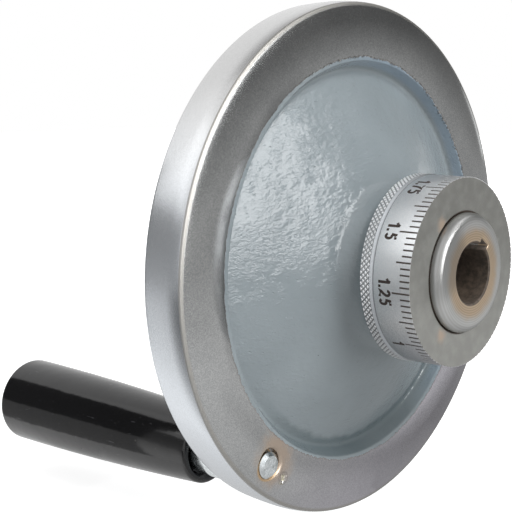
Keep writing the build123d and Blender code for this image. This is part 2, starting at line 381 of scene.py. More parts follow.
def card(name, radius, centre, outline, material):
    """An upright sheet bent round a centre: at each azimuth it stands at centre + radius * (cosine,
    sine) and reaches from the floor to the height that the outline gives there."""
    azimuth, height = np.array(outline, float).T
    azimuths = np.linspace(azimuth[0], azimuth[-1], card_columns)
    turn, top = np.radians(azimuths), np.interp(azimuths, azimuth, height)
    x, y = centre[0] + radius * np.cos(turn), centre[1] + radius * np.sin(turn)
    foot = np.full(card_columns, floor_mm + 1)
    points = np.concatenate([np.stack([x, y, high], -1) for high in (foot, top)]) * MM
    j = np.arange(card_columns - 1)
    faces = np.stack([j, j + 1, j + 1 + card_columns, j + card_columns], -1)
    return mirrored_only(stage_piece(name, points.tolist(), faces.tolist(), material))


def screen(name, start, end, low, high, material):
    """A flat upright sheet between two floor points and two heights, in millimetres."""
    corners = [(*start, low), (*end, low), (*end, high), (*start, high)]
    points = [(x * MM, y * MM, z * MM) for x, y, z in corners]
    return mirrored_only(stage_piece(name, points, [(0, 1, 2, 3)], material))


def mat(name, corners, lift, material):
    """A flat sheet a little above the floor, from its corners' x and y in millimetres."""
    points = [(x * MM, y * MM, (floor_mm + lift) * MM) for x, y in corners]
    return mirrored_only(stage_piece(name, points, [tuple(range(len(points)))], material))


print("sheets stand on the floor at", floor_mm, "mm")

# %% Cards in place
ceiling = 1480
card("front card", 500, (0, 0), [(-97, -79), (-94, 0), (-91, 42), (-88, 88), (-83, 160), (-77, 214),
                                 (-71, 262), (-64.5, 303), (-57, 345), (-50, 375), (28, 375)],
     grey_cloth)
card("left card", 430, (-55, 60), [(107, 150), (172, 150)], dark_cloth)
front_mat = mat("front mat", [(-120, 3), (-500, -600), (0, -900), (700, -600), (900, 0), (300, 3),
                              (60, 3)], 0.4, grey_felt)
front_mat.visible_diffuse = True
mat("right mat", [(12, -2), (60, -30), (500, -100), (500, 400), (60, 60), (12, 20)], 0.8, dim_felt)
mat("left mat", [(-76, 5), (-76, 80), (-200, 420), (-480, 700), (-900, 700), (-900, 60),
                 (-300, -60), (-110, -40)], 1.2, black_felt)
mat("base mat", [(-76, 5), (-76, 80), (60, 80), (60, 5)], 0.6, painted_shadow_felt)
screen("handle card", (-105, 80), (-105, 300), -52, 70, black_cloth)
screen("handle foot", (-76, 60), (-76, 260), floor_mm + 1, -54, pale_cloth)
mat("front ceiling", [(-1500, -2400), (1500, -2400), (1500, -500), (-1500, -500)], ceiling,
    pale_silk)
mat("rear ceiling", [(-350, -500), (2400, -500), (2300, 1100), (650, 1090), (100, 1080),
                     (-250, 1000)], ceiling, dim_silk)

# %% [markdown]
# ## Turned surfaces
#
# Nearly every piece was turned, or cast from a turned pattern. Its section is a line of corners,
# each with its own rounding, and the surface is that line carried round an axis. A station is the
# distance along the axis towards the nose, as a turner would measure it, so a point at station s
# has y = -s. A Screw or Spin tool could carry the line round too, but with the points worked out as
# one array, their number, their seam and the side they face are known.


# %% Sections
arc_step = math.radians(11)


def section(corners, reach=None):
    """Points of a section from (radius, station, rounding) corners.

    A rounded corner is swapped for the arc that touches both its sides. The arc's centre lies on
    the corner's bisector, at the rounding over the sine of half the angle, and its points are
    blended from its two ends by the sines of the turn left and the turn made. A side longer than
    reach(point) is divided into equal steps of that length.
    """
    at = np.array([c[:2] for c in corners], float)
    points = []
    for i, (_, _, rounding) in enumerate(corners):
        if rounding == 0 or i in (0, len(corners) - 1):
            points.append(at[i:i + 1])
            continue
        back, on = at[i - 1] - at[i], at[i + 1] - at[i]
        back, on = back / np.linalg.norm(back), on / np.linalg.norm(on)
        half = math.acos(np.clip(back @ on, -1, 1)) / 2
        bisector = (back + on) / np.linalg.norm(back + on)
        centre = at[i] + bisector * rounding / math.sin(half)
        first = at[i] + back * rounding / math.tan(half)
        last = at[i] + on * rounding / math.tan(half)
        turn = math.pi - 2 * half
        share = np.linspace(0, 1, max(3, int(turn / arc_step) + 2))[:, None]
        blend = np.sin((1 - share) * turn) * (first - centre)
        blend += np.sin(share * turn) * (last - centre)
        points.append(centre + blend / math.sin(turn))
    line = np.vstack(points)
    if reach is None:
        return line
    divided = [line[:1]]
    for a, b in zip(line[:-1], line[1:]):
        count = max(1, int(np.ceil(np.linalg.norm(b - a) / reach((a + b) / 2))))
        divided.append(a + (b - a) * np.linspace(0, 1, count + 1)[1:, None])
    return np.vstack(divided)


def crowned(start, end, bulge, count):
    """Points of the shallow arc from start to end that leaves start along the bulge direction. Its
    radius is the chord squared over twice the fall across that direction."""
    start, end, bulge = (np.array(p, float) for p in (start, end, bulge))
    bulge /= np.linalg.norm(bulge)
    chord = end - start
    along = chord @ bulge
    fall = chord - along * bulge
    drop = np.linalg.norm(fall)
    radius = (along**2 + drop**2) / (2 * drop)
    x = np.linspace(0, along, count)[:, None]
    return start + x * bulge + fall / drop * (radius - np.sqrt(radius**2 - x**2))


sample_corner = section([(0, 0, 0), (10, 0, 2), (10, 10, 0)])
print("a square corner rounded by 2 mm takes", len(sample_corner) - 2, "points")

# %% [markdown]
# ## From grids to pieces
#
# A surface is a grid of points: one loop for each point of the section. Neighbours in the grid
# give the faces, so the mesh is closed by its own numbering and no doubles have to be merged. The
# volume inside tells which way the faces look: if it comes out negative, they are all turned.


# %% Skins
def turned(line, angles, centre=(0.0, 0.0)):
    """Grid of points: every (radius, station) of the line at every angle round the centre, at
    x = radius * cosine, y = -station and z = radius * sine."""
    radius, station = line[:, :1], line[:, 1:]
    x = centre[0] + radius * np.cos(angles)
    z = centre[1] + radius * np.sin(angles)
    return np.stack([x, np.broadcast_to(-station, x.shape), z], -1)


def skin(grid, closed):
    """Points and faces of a grid of loops. Each loop closes on itself. If closed, the last loop
    joins the first; otherwise a point at the middle of each end loop closes that end."""
    rows, columns = grid.shape[:2]
    k = np.arange(rows if closed else rows - 1)[:, None]
    j = np.arange(columns)[None, :]
    here, there = k * columns, (k + 1) % rows * columns
    on = (j + 1) % columns
    quads = np.stack([here + j, there + j, there + on, here + on], -1).reshape(-1, 4)
    points = grid.reshape(-1, 3)
    faces = quads.tolist()
    if not closed:
        ends = np.array([grid[0].mean(0), grid[-1].mean(0)])
        first, last = len(points), len(points) + 1
        points = np.vstack([points, ends])
        j, on, tail = j[0], on[0], (rows - 1) * columns
        faces += np.stack([np.full(columns, first), j, on], -1).tolist()
        faces += np.stack([np.full(columns, last), tail + on, tail + j], -1).tolist()
    return points, faces


def volume(points, faces):
    """Signed volume inside a closed skin: a sixth of the sum, over its triangles, of one corner
    times the cross product of the other two."""
    halves = [face[:3] for face in faces] + [(f[0], f[2], f[3]) for f in faces if len(f) == 4]
    corners = np.array(halves)
    a, b, c = points[corners[:, 0]], points[corners[:, 1]], points[corners[:, 2]]
    return float(np.einsum("ij,ij->i", a, np.cross(b, c)).sum() / 6)


def round_steps(count):
    """This many equal steps round a full turn, as angles in radians."""
    return np.arange(count) * 2 * math.pi / count


rod = skin(turned(np.array([(1.0, 0.0), (1.0, 1.0)]), round_steps(64)), False)
print("a rod of radius 1 and length 1 holds", round(abs(volume(*rod)), 3))


# %% Pieces
def piece(name, points, faces, material, sharp=32):
    """An object at the origin from points in millimetres, with its faces turned outwards and its
    shading smooth up to the sharp angle."""
    if volume(points, faces) < 0:
        faces = [face[::-1] for face in faces]
    mesh = bpy.data.meshes.new(name)
    mesh.from_pydata((points * MM).tolist(), [], faces)
    mesh.shade_smooth()
    mesh.set_sharp_from_angle(angle=math.radians(sharp))
    mesh.materials.append(material)
    made = bpy.data.objects.new(name, mesh)
    bpy.context.scene.collection.objects.link(made)
    print(name, len(mesh.polygons), "faces")
    return made


def dress(made, body, slot, *nodes):
    """The piece rides on a body and stands for these nodes, which are hidden. The slot is not used.
    """
    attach(made, body)
    if nodes:
        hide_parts(*nodes)


def cut(made, *tools):
    """Takes tool solids out of a piece, then throws the tools away."""
    for tool in tools:
        knife = made.modifiers.new("cut", "BOOLEAN")
        knife.operation = "DIFFERENCE"
        knife.solver = "EXACT"
        knife.object = tool
    graph = bpy.context.evaluated_depsgraph_get()
    result = bpy.data.meshes.new_from_object(made.evaluated_get(graph))
    made.modifiers.clear()
    made.data = result
    for tool in tools:
        bpy.data.objects.remove(tool)


print("piece helpers", piece.__name__, dress.__name__, cut.__name__)

# %% [markdown]
# ## The wheel casting
#
# One closed section, carried round, makes the whole casting: bore, nose, journal, shoulder, web,
# rim, and the plain side that faces the operator. Modelling the parts by themselves and joining
# them would leave seams where the real casting has fillets. Every corner has its own rounding, and
# the rim's face and sides are shallow arcs, so that they mirror the studio as ground metal does.

# %% Section of the casting
bore_radius, bore_bevel = 9.0, 0.4
journal_radius = 17.65
nose_station = 39.1
seat_station, seat_bevel = 18.7, 0.35
boss_radius = 23.5
boss_foot = 11.0
rim_inner = 62.0
rim_edge = (rim_inner, -0.6)
rim_crest = (69.5, 0.0)
rim_back = -16.0
recess_radius, recess_station = 59.35, -4.85
rim_corner = (79.4, -1.7)
rim_crown = (wheel_diameter / 2, -6.3)
rim_back_corner = (79.5, rim_back)
hub_back_station = -6.0
hub_back_radius = 21.0
hub_back_bevel = [(20.44, -5.0), (19.3, hub_back_station)]

web_thickness = 6.5
web_slope = (boss_foot - recess_station) / (recess_radius - boss_radius)
web_through = web_thickness * math.hypot(1, web_slope)


def web_front(radius):
    """Station of the web's front at a radius: a straight cone from the boss to the recess."""
    return boss_foot - web_slope * (radius - boss_radius)


def plain(points):
    """Corners with no rounding."""
    return [(radius, station, 0) for radius, station in points]


inner_points = crowned(rim_crest, rim_edge, (-1, 0), 10)[::-1]
face_points = crowned(rim_crest, rim_corner, (1, 0), 13)
shoulder_points = crowned(rim_crown, rim_corner, (0, 1), 7)[::-1]
outside_points = crowned(rim_crown, rim_back_corner, (0, -1), 7)
casting_corners = [
    *plain([(bore_radius, hub_back_station + bore_bevel)]),
    *plain([(bore_radius, nose_station - bore_bevel), (bore_radius + bore_bevel, nose_station)]),
    (journal_radius, nose_station, 2.8),
    (journal_radius, seat_station, 0),
    *plain([(boss_radius - seat_bevel, seat_station), (boss_radius, seat_station - seat_bevel)]),
    (boss_radius, boss_foot, 7.0),
    (recess_radius, recess_station, 1.2),
    (*rim_edge, 0.5),
    *plain(inner_points[1:-1]),
    *plain(face_points[:-1]),
    (*rim_corner, 0.55),
    *plain(shoulder_points[1:]),
    *plain(outside_points[1:-1]),
    (*rim_back_corner, 1.6),
    (rim_inner + 1.0, rim_back, 1.3),
    (rim_inner, web_front(rim_inner) - web_through, 3.2),
    (hub_back_radius, web_front(hub_back_radius) - web_through, 3.2),
    *plain([*hub_back_bevel, (bore_radius + bore_bevel, hub_back_station)]),
]
web_step, back_step, metal_step = 0.8, 1.7, 3.0


def casting_reach(point):
    """Length of a step along the section, in millimetres: fine on the enamelled web."""
    radius, station = point
    if not boss_radius - 1 < radius < rim_inner + 1:
        return metal_step
    return web_step if station > web_front(radius) - web_through / 2 else back_step


casting_line = section(casting_corners, casting_reach)
print("casting section", len(casting_line), "points")

# %% [markdown]
# ## Lumps under the enamel
#
# A cast web under thick enamel isn't even: a long reflection on it wavers. Its points move in and
# out along the section's normal by a few hundredths of a millimetre, before the holes are cut. A
# bump in the material would bend the light as well, but not the outline. The height is a sum of
# sine waves in space, so it has no seam where the grid closes on itself.


# %% Lumps under the enamel
def ripple(points, length, seed, waves=48):
    """Smooth random height, about -1 to 1: a sum of sine waves of nearly one length, whose
    directions and phases are drawn at random, divided by the square root of their number."""
    draw = np.random.default_rng(seed)
    way = draw.normal(size=(waves, 3))
    pace = (2 * math.pi / length) * draw.uniform(0.7, 1.4, (waves, 1))
    way *= pace / np.linalg.norm(way, axis=1, keepdims=True)
    phase = draw.uniform(0, 2 * math.pi, waves)
    return np.sin(points @ way.T + phase).sum(-1) / math.sqrt(waves)


def lumpy(grid, line):
    """The grid with its web moved along the section's normal by two sizes of ripple. The move fades
    out over fade millimetres of radius before the rim and the boss."""
    along = np.gradient(line, axis=0)
    normal = np.stack([-along[:, 1], along[:, 0]], 1) / np.linalg.norm(along, axis=1, keepdims=True)
    radius, fade = line[:, 0], 1.5
    inside_rim = np.clip((rim_inner - 0.4 - radius) / fade, 0, 1)
    outside_boss = np.clip((radius - boss_radius - 0.3) / fade, 0, 1)
    height = 0.035 * ripple(grid, 16.0, 3) + 0.006 * ripple(grid, 4.5, 4)
    height = height * (inside_rim * outside_boss)[:, None]
    turn = np.arctan2(grid[..., 2], grid[..., 0])
    outwards = height * normal[:, :1]
    move = [outwards * np.cos(turn), -height * normal[:, 1:], outwards * np.sin(turn)]
    return grid + np.stack(move, -1)


casting_columns = 448
casting_grid = lumpy(turned(casting_line, round_steps(casting_columns)), casting_line)
print("casting grid", casting_grid.shape)

# %% [markdown]
# ## One material for the whole wheel
#
# Enamel, plating, bare iron and rust meet on one casting, and the enamel's edge is ragged where the
# rim was ground after painting. A material for each group of faces would follow the mesh instead,
# in straight steps. So the casting has one material, and a mask says where each finish is: 1 inside
# it, 0 outside, and a narrow step between. A mask is worked out from a point's distance from the
# axis, its station and its direction from the axis, and noise frays its edge.

# %% Where each finish is
handle_angle = math.radians(-129.2)
handle_radius = 71.5
handle_centre = (handle_radius * math.cos(handle_angle), handle_radius * math.sin(handle_angle))
stake_centre = (-38.9, -60.8)
key_top = bore_radius + 1.6

casting_finish, shader, place = finish("enamelled and plated casting")
from_axis = about_axis(place)
from_stud = about_axis(place, handle_centre)
from_stake = about_axis(place, stake_centre)[0]
radius, station, across, up = from_axis


def facing(degrees, steps=from_axis):
    """Cosine of the angle between a direction round an axis and the way from the axis to a point:
    the two steps across times the direction's cosine and sine, over the distance."""
    away, _, across, up = steps
    turn = math.radians(degrees)
    return (across * math.cos(turn) + up * math.sin(turn)) / away


paint_edge = (facing(170) * 1.6 + facing(54).rise(0.45, 1.0) * 0.7
              + facing(-35).rise(0.1, 0.9) * 1.9 + (rim_inner + 0.2))
fine_fray = (place.noise(0.0009, 5.0, 0.0, 0.65) - 0.5) * 1.8
broad_fray = (place.noise(0.006, 2.0, 5.0) - 0.5) * 1.0
inside_paint = paint_edge + (fine_fray + broad_fray) - radius
on_hub_back = (station.rise(recess_station + 0.05, recess_station - 0.25)
               * radius.rise(hub_back_radius + 0.6, hub_back_radius + 0.3))
before_seat = station.rise(seat_station, seat_station - 0.2)
enamel = inside_paint.rise(-0.05, 0.05) * before_seat * (1.0 - on_hub_back)
above_recess = station.rise(-5.0, -4.9)
in_keyway = (radius.rise(key_top + 0.2, key_top + 0.1)
             * station.rise(nose_station - 0.02, nose_station - 0.1)
             * station.rise(hub_back_station + 0.1, hub_back_station + 0.2))
in_hole = radius.rise(9.65, 9.45)
in_bore = in_hole.math("MAXIMUM", in_hole, in_keyway)
on_front = station.rise(-6.6, -6.2)
near_face = station.rise(-3.0, -2.5)
on_face = station.rise(-1.9, -1.5)
on_nose = station.rise(35.5, 36.0)
print("masks", len(casting_finish.node_tree.nodes), "nodes")

# %% [markdown]
# ### Enamel
#
# Thick blue-grey enamel is never one grey. Its tone drifts over centimetres, a darker wavy band
# of painted shade lies at the foot of the recess low down, a thin painted highlight follows the
# corner there, the recess wall is bluer, and pits show where it drew back from the iron. One image
# could hold all that, but it would blur close up. Layers don't: each is a mask and a tone, laid
# over the last.


# %% Enamel
def layered(base, *layers):
    """The base tone with each (mask, tone) layer laid over it in turn, as far as its mask is 1."""
    for mask, colour in layers:
        base = mask.mix(base, colour)
    return base


waves = (place.noise(0.007, 3.0, 13.0) - 0.5) * 4.2
# Painted shade: a darker wavy band at the foot of the recess, low down on the front.
painted_recess_shade = ((radius + waves).rise(55.0, 57.2) * radius.rise(62.4, 61.6)
          * facing(-70).rise(0.25, 0.75) * on_front)
# Painted highlight: a thin pale line along the corner at the foot of the recess, low on the right.
painted_corner_highlight = (radius.band(59.3, 59.42, 59.56, 59.68) * facing(-36).rise(0.88, 0.98)
           * place.noise(0.0016, 3.0, 27.0).rise(0.42, 0.56) * on_front)
on_wall = radius.rise(59.9, 60.9) * facing(25).rise(0.0, 0.7) * on_front
pits = place.noise(0.0007, 1.0, 8.0).rise(0.79, 0.82)
drift = place.noise(0.03, 2.0, 1.0).rise(0.3, 0.7)
enamel_tone = layered(
    drift.mix(tone(129, 138, 142), tone(137, 146, 150)),
    (painted_recess_shade * 0.6, tone(80, 94, 98)),
    (painted_corner_highlight * 0.8, tone(226, 232, 234)),
    (on_wall * 0.6, tone(122, 141, 158)),
    (pits, tone(58, 62, 64)))
print("enamel added:", len(casting_finish.node_tree.nodes), "nodes")

# %% [markdown]
# ### Plating
#
# The plated metal has a fine grain: a dull even grey on the rim's face, with a painted lavender
# reflection tint towards its lower right, and nearly white on the turned outside, with a painted
# bluish reflection tint lower down. A metal's colour is what it mirrors times its tone, so the
# tones are pale and the studio does the rest. The nose shows the lines of the turning tool, and a
# beige stain has crept over its inner half.


# %% Plating
def two_way(fine, broad, dark, pale):
    """A tone that goes from dark to pale as the fine mask rises. Dark and pale are pairs of tones,
    and the broad mask leads from the first to the second of each."""
    return fine.mix(broad.mix(*dark), broad.mix(*pale))


grain = place.noise(0.00030, 2.0, 2.0, 0.7)
clouds = place.noise(0.012, 3.0, 14.0)
# The outside's tone takes a painted bluish reflection tint lower down.
outer_tone = two_way(grain.rise(0.2, 0.8), up.rise(60, 5),
                     (tone(200, 200, 200), tone(196, 200, 204)),
                     (tone(215, 215, 215), tone(211, 215, 220)))
# The face's tone takes a painted lavender reflection tint towards its lower right.
face_tone = two_way((grain * 0.8 + clouds * 0.2).rise(0.27, 0.73), (across * 0.7 - up).rise(15, 80),
                    (tone(164, 166, 167), tone(174, 172, 178)),
                    (tone(206, 207, 206), tone(202, 200, 206)))
waver = radius * 9.0 + place.noise(0.004, 2.0, 16.0) * 2.0
lines = waver.math("SINE", waver) * 0.5 + 0.5
stain = (radius + place.noise(0.003, 3.0, 26.0) * 2.4).rise(16.0, 12.6) * on_nose * 0.9
nose_tone = two_way(stain, lines, (tone(186, 186, 184), tone(200, 201, 200)),
                    (tone(182, 158, 130), tone(206, 184, 156)))
print("plating added:", len(casting_finish.node_tree.nodes), "nodes")

# %% [markdown]
# ### Rust, wear, chips and painted shade
#
# Rust creeps out of the stud's seat, most of it towards the enamel. The outer corner is dulled, and
# its tone is darkened there as painted shade. The punched mark beside the stud is rough, and a ring
# of painted shade darkens its walls. The plating beside the enamel on the left side is darkened as
# painted shade, and the enamel's ground edge has dark chips. The inside of the bore is rusty brown,
# darkened further as painted shade. The order of the layers is the order in which these were laid:
# plating first, then what lies on it.

# %% Wear
creep = place.noise(0.0028, 3.0, 15.0) * 7.0
rust = (from_stud[0] + creep - facing(30, from_stud) * 3.2).rise(14.5, 7.0) * on_face
seat = from_stud[0].rise(5.1, 4.6) * station.rise(-3.2, -3.0)
thin_line = inside_paint.rise(-0.55, -0.05) * (1.0 - enamel) * above_recess
# The outer corner is dulled, and its tone is darkened as painted shade.
dulled_and_shaded_corner = radius.rise(78.0, 78.8) * station.rise(-2.3, -2.0)
struck = from_stake.rise(2.2, 1.9) * station.rise(-0.28, -0.34) * near_face
# A ring of painted shade darkens the walls of the punched mark.
painted_pit_shade = from_stake.band(1.5, 1.75, 2.05, 2.3) * near_face
# Painted shade: the plating beside the enamel on the left side is darkened.
painted_left_shade = (radius + clouds * 2.0).rise(68.5, 64.5) * facing(160).rise(0.6, 0.92) * on_face
plate_tone = layered(
    on_face.mix(outer_tone, face_tone),
    (rust * 0.75, tone(168, 146, 124)),
    (seat, tone(186, 160, 128)),
    (thin_line * 0.3, tone(150, 132, 116)),
    (dulled_and_shaded_corner * 0.75, tone(158, 155, 149)),
    (on_nose, nose_tone),
    (struck, tone(190, 186, 172)),
    (painted_pit_shade * 0.3, tone(104, 98, 94)),
    (painted_left_shade * 0.45, tone(112, 113, 113)))

frayed = place.noise(0.0008, 2.0, 37.0).rise(0.47, 0.56)
chipped = (inside_paint.band(-0.45, -0.1, 0.15, 0.5) * frayed
           * facing(55).rise(0.0, 0.5) * above_recess)
# The rust brown inside the bore and keyway is darkened further as painted shade.
bore_spots = place.noise(0.0011, 4.0, 17.0).rise(0.25, 0.75)
body_tone = layered(
    enamel.mix(plate_tone, enamel_tone),
    (chipped * 0.7, tone(66, 68, 70)),
    (in_bore, bore_spots.mix(tone(52, 45, 38), tone(92, 80, 69))))
print("wear added:", len(casting_finish.node_tree.nodes), "nodes")

# %% [markdown]
# ### Orange peel and gloss
#
# Sprayed enamel dries with a skin like an orange's, which breaks a highlight into small sparks. The
# skin is finer than any mesh could carry, so it is a bump: the material tilts the light as if the
# surface rose by a height. The peel is drawn out along one direction and is calmer in some patches
# than in others. The enamel is glossiest, the plating is satin, and struck places are dull.

# %% Peel and gloss
relief_height = 0.00018
drawn = place.node("Mapping", {"Vector": place, "Rotation": (0, math.radians(153), 0),
                               "Scale": (0.42, 1.0, 1.0)})
calm = place.noise(0.0075, 2.0, 34.0).rise(0.36, 0.60) * 0.75 + 0.45
peel = (drawn.noise(0.00066, 2.0, 3.0, 0.6) * calm * 0.95
        + drawn.noise(0.00105, 1.0, 35.0) * calm * 0.3 + place.noise(0.0026, 1.0, 4.0) * 0.75)
dimples = drawn.noise(0.0008, 1.0, 7.0).rise(0.33, 0.22) * -0.5
satin = place.noise(0.0004, 2.0, 6.0) * 0.06
tool_lines = lines * on_nose * 0.012
relief = (peel + dimples - pits * 0.6) * enamel + (satin + tool_lines) * (1.0 - enamel)
metal = (1.0 - enamel) * (1.0 - in_bore) * (1.0 - rust * 0.35)
rough = (0.24 - on_face * 0.11 - enamel * 0.15 + in_bore * 0.45 + rust * 0.12
         + on_nose * (clouds * 0.16 + 0.10) + dulled_and_shaded_corner * 0.26 + struck * 0.34 + seat * 0.16
         + clouds * 0.02)
connect(shader, Base_Color=body_tone, Metallic=metal, Roughness=rough, Specular_IOR_Level=0.58,
        Normal=relief.bump(relief_height))
print("casting finish", len(casting_finish.node_tree.nodes), "nodes")

# %% [markdown]
# ## The holes
#
# What isn't turned is cut: the stud's hole with its worn mouth, the keyway, the flat pocket under
# the dial for its spring, and a punched mark. Holes could be built into the grid, as the dial's
# marks are below, but these stand at odd places on it. An exact Boolean cut takes each out with a
# solid of the tool's shape, which reaches past the surface so that no skin is left over the hole.


# %% Cutting tools
def tool(name, line, centre):
    """A turned solid on an axis, used to cut, from the (radius, station) points of its side."""
    points, faces = skin(turned(np.array(line, float), round_steps(96), centre), False)
    return piece(name, points, faces, casting_finish)


def slab(name, angle, inner, outer, half_width, low, high):
    """A rectangular bar at an angle round the wheel's axis, between two distances and two
    stations: its corners are distance * outwards plus or minus half its width * sideways."""
    out = np.array([math.cos(angle), math.sin(angle)])
    across = np.array([-math.sin(angle), math.cos(angle)])
    corners = [inner * out - half_width * across, outer * out - half_width * across,
               outer * out + half_width * across, inner * out + half_width * across]
    grid = np.array([[(x, -station, z) for x, z in corners] for station in (low, high)])
    return piece(name, *skin(grid, False), casting_finish)


stud_hole = 4.05
mouth_centre = (handle_centre[0] + 0.45, handle_centre[1] + 0.30)
stud_tool = tool("stud_tool", [(stud_hole, 2.0), (stud_hole, rim_back - 2.0)], handle_centre)
mouth_tool = tool("mouth_tool", [(7.2, 1.9), (4.5, -0.8), (4.5, -3.0)], mouth_centre)
key_tool = slab("key_tool", math.radians(55.5), 0.0, key_top, 2.2, -8.0, 41.0)
pocket_tool = slab("pocket_tool", handle_angle, 13.6, 30.0, 10.347, 23.9, 30.5)

stake_points = 12
stake_long, stake_short, stake_narrow = 2.0, 1.15, 0.8
stake_turn = np.linspace(0, 2 * math.pi, stake_points, endpoint=False) + 0.3
stake_radius = np.where(np.arange(stake_points) % 2 == 0, stake_long, stake_short)
share, level = np.array([(0.5, -0.85), (1.1, 0.2)]).T[..., None]
stake_x = stake_centre[0] + stake_narrow * stake_radius * share * np.cos(stake_turn)
stake_z = stake_centre[1] + stake_radius * share * np.sin(stake_turn)
stake_grid = np.stack([stake_x, np.broadcast_to(-level, stake_x.shape), stake_z], -1)
stake_tool = piece("stake_tool", *skin(stake_grid, False), casting_finish)

# %% Cut the casting
casting = piece("wheel_casting", *skin(casting_grid, True), casting_finish)
cut(casting, stud_tool, mouth_tool, key_tool, pocket_tool, stake_tool)
dress(casting, "wheel", "casting", "handwheel")
print("casting cut:", len(casting.data.polygons), "faces")

# %% [markdown]
# ## The graduated dial
#
# The dial is a steel ring with a knurled band to turn it by and a hundred marks cut through its
# front edge. Both patterns repeat round the same circle, so one grid serves: 1100 columns give
# every mark eleven and every knurl groove ten. The columns of the scale are moved so that the walls
# of each mark stand on a column, which keeps them sharp. Cutting 100 marks and 220 grooves one by
# one would take long and leave slivers.

# %% Shape of the dial
dial_back, dial_front = 18.9, 35.7
dial_bore = 17.7
knurl_radius, knurl_end = 28.25, 22.4
scale_radius, scale_start = 28.0, 23.65
groove_bottom = (27.6, 23.25)
detent_radius, detent_low, detent_high = 18.2, 23.65, 30.75
dial_chamfer, front_chamfer = 0.35, 0.6
face_middle = 23.0
divisions, mark_columns = 100, 11
zero_mark = math.radians(6.5)
mark_width, mark_depth, mark_wall = 0.45, 0.2, 0.02
mark_lengths = {1: 3.2, 5: 4.8, 10: 5.9}
knurl_lines = 110
knurl_pitch = 1.58
knurl_depth = 0.36
knurl_groove = 0.30
dial_columns = mark_columns * divisions

even = zero_mark + (np.arange(dial_columns) - mark_columns // 2) * 2 * math.pi / dial_columns
print("columns", dial_columns, "marks", divisions)


# %% Rows of the dial
def rows(radius, station, angle):
    """Loops of (radius, station, angle), each of the three spread over the whole grid."""
    return np.stack(np.broadcast_arrays(radius, station, angle), -1)


def knurl_rows():
    """Loops of the knurled band. Two families of grooves climb the band at opposite hands. The
    depth at a point is that of the nearer groove, a V with a flat left between it and the next."""
    station = np.arange(dial_back + dial_chamfer, knurl_end, knurl_pitch / 10)[:, None]
    turn = (even - even[0]) / (2 * math.pi) * knurl_lines
    near = []
    for hand in (1, -1):
        phase = (turn + hand * (station - station[0, 0]) / knurl_pitch) % 1.0
        near.append(np.minimum(phase, 1 - phase) / knurl_groove)
    height = np.clip(np.minimum(*near), 0, 1)
    return rows(knurl_radius - knurl_depth * (1 - height), station, even)


def scale_rows():
    """Loops of the graduated band: the radius drops by the mark's depth inside a mark's outline.
    Columns stand at the foot and top of both walls of a mark, and at set shares between marks."""
    half = mark_width / 2 / scale_radius
    wall = mark_wall / scale_radius
    spread = math.pi / divisions
    side = np.array([half, half + wall, 0.45 * spread, 0.63 * spread, 0.88 * spread])
    offsets = np.concatenate([-side[::-1], [0.0], side])
    angle = (zero_mark + np.arange(divisions)[:, None] * 2 * spread + offsets).ravel()
    inside = np.tile(np.abs(offsets) <= half, divisions)
    number = np.repeat(np.arange(divisions), len(offsets))
    choices = [mark_lengths[10], mark_lengths[5]]
    length = np.select([number % 10 == 0, number % 5 == 0], choices, mark_lengths[1])
    stations = [scale_start, 26.0, 28.0]
    for value in sorted(mark_lengths.values(), reverse=True):
        stations += [dial_front - value - mark_wall, dial_front - value]
    station = np.array(stations + [34.1, dial_front])[:, None]
    deep = inside & (station >= dial_front - length - 1e-9)
    return rows(scale_radius - mark_depth * deep, station, angle)


def plain_rows(line):
    """Loops of a plain turned part of the dial, on the even columns."""
    line = np.array(line, float)
    return rows(line[:, :1], line[:, 1:], even)


dial_rows = np.concatenate([
    plain_rows([(dial_bore, dial_front - front_chamfer), (dial_bore, detent_high),
                (detent_radius, detent_high), (detent_radius, detent_low), (dial_bore, detent_low),
                (dial_bore, dial_back + dial_chamfer), (dial_bore + dial_chamfer, dial_back),
                (face_middle, dial_back), (knurl_radius - dial_chamfer, dial_back)]),
    knurl_rows(),
    plain_rows([(knurl_radius, knurl_end), groove_bottom]),
    scale_rows(),
    plain_rows([(27.0, dial_front), (face_middle, dial_front),
                (dial_bore + front_chamfer, dial_front)]),
])
dial_radius, dial_station, dial_angle = np.moveaxis(dial_rows, -1, 0)
dial_grid = np.stack([dial_radius * np.cos(dial_angle), -dial_station,
                      dial_radius * np.sin(dial_angle)], -1)
print("dial grid", dial_grid.shape)

# %% [markdown]
# ## Steel of the dial
#
# The scale is satin steel, painted brighter at the top and greyer lower down as painted light. The
# knurl's grooves and the seam in front of the knurl have a darker tone, the marks are filled dark,
# and two brown stains have spread on the front face, which still shows the rings of the turning
# tool and is painted lighter lower down as a painted reflection. The masks use the same sizes as
# the shape, so the darker tone sits exactly in the grooves.

# %% Steel of the dial
dial_finish, shader, place = finish("satin dial steel")
radius, station, across, up = about_axis(place)
grain = place.noise(0.00028, 2.0, 11.0)
# The knurl's grooves and the seam in front of the knurl take a darker tone.
in_groove = (station.rise(knurl_end + 0.05, knurl_end - 0.1)
             * radius.rise(knurl_radius - 0.06, knurl_radius - 0.28))
bevel = station.band(knurl_end - 0.1, knurl_end + 0.05, knurl_end + 0.6, knurl_end + 0.7)
seam = station.band(knurl_end + 0.55, knurl_end + 0.75, scale_start - 0.15, scale_start + 0.05)
on_end = (station.rise(dial_front - 0.15, dial_front - 0.05)
          * radius.rise(scale_radius - 0.1, scale_radius - 0.3))
in_mark = station.rise(29.7, 29.8) * radius.rise(27.9, 27.85) * (1.0 - on_end)

rings = radius.math("FRACT", radius * 2.6) * 0.15
streaks = (place.noise(0.0035, 3.0, 18.0) * 0.6 + rings).rise(0.25, 0.6)
spot_edge = place.noise(0.0012, 3.0, 19.0) * 1.8 * 1.4
spots = sum(((((across - x) ** 2 + (up - z) ** 2) ** 0.5) + spot_edge).rise(4.6, 1.6)
            for x, z in ((-12.0, 15.0), (-11.0, -17.2)))
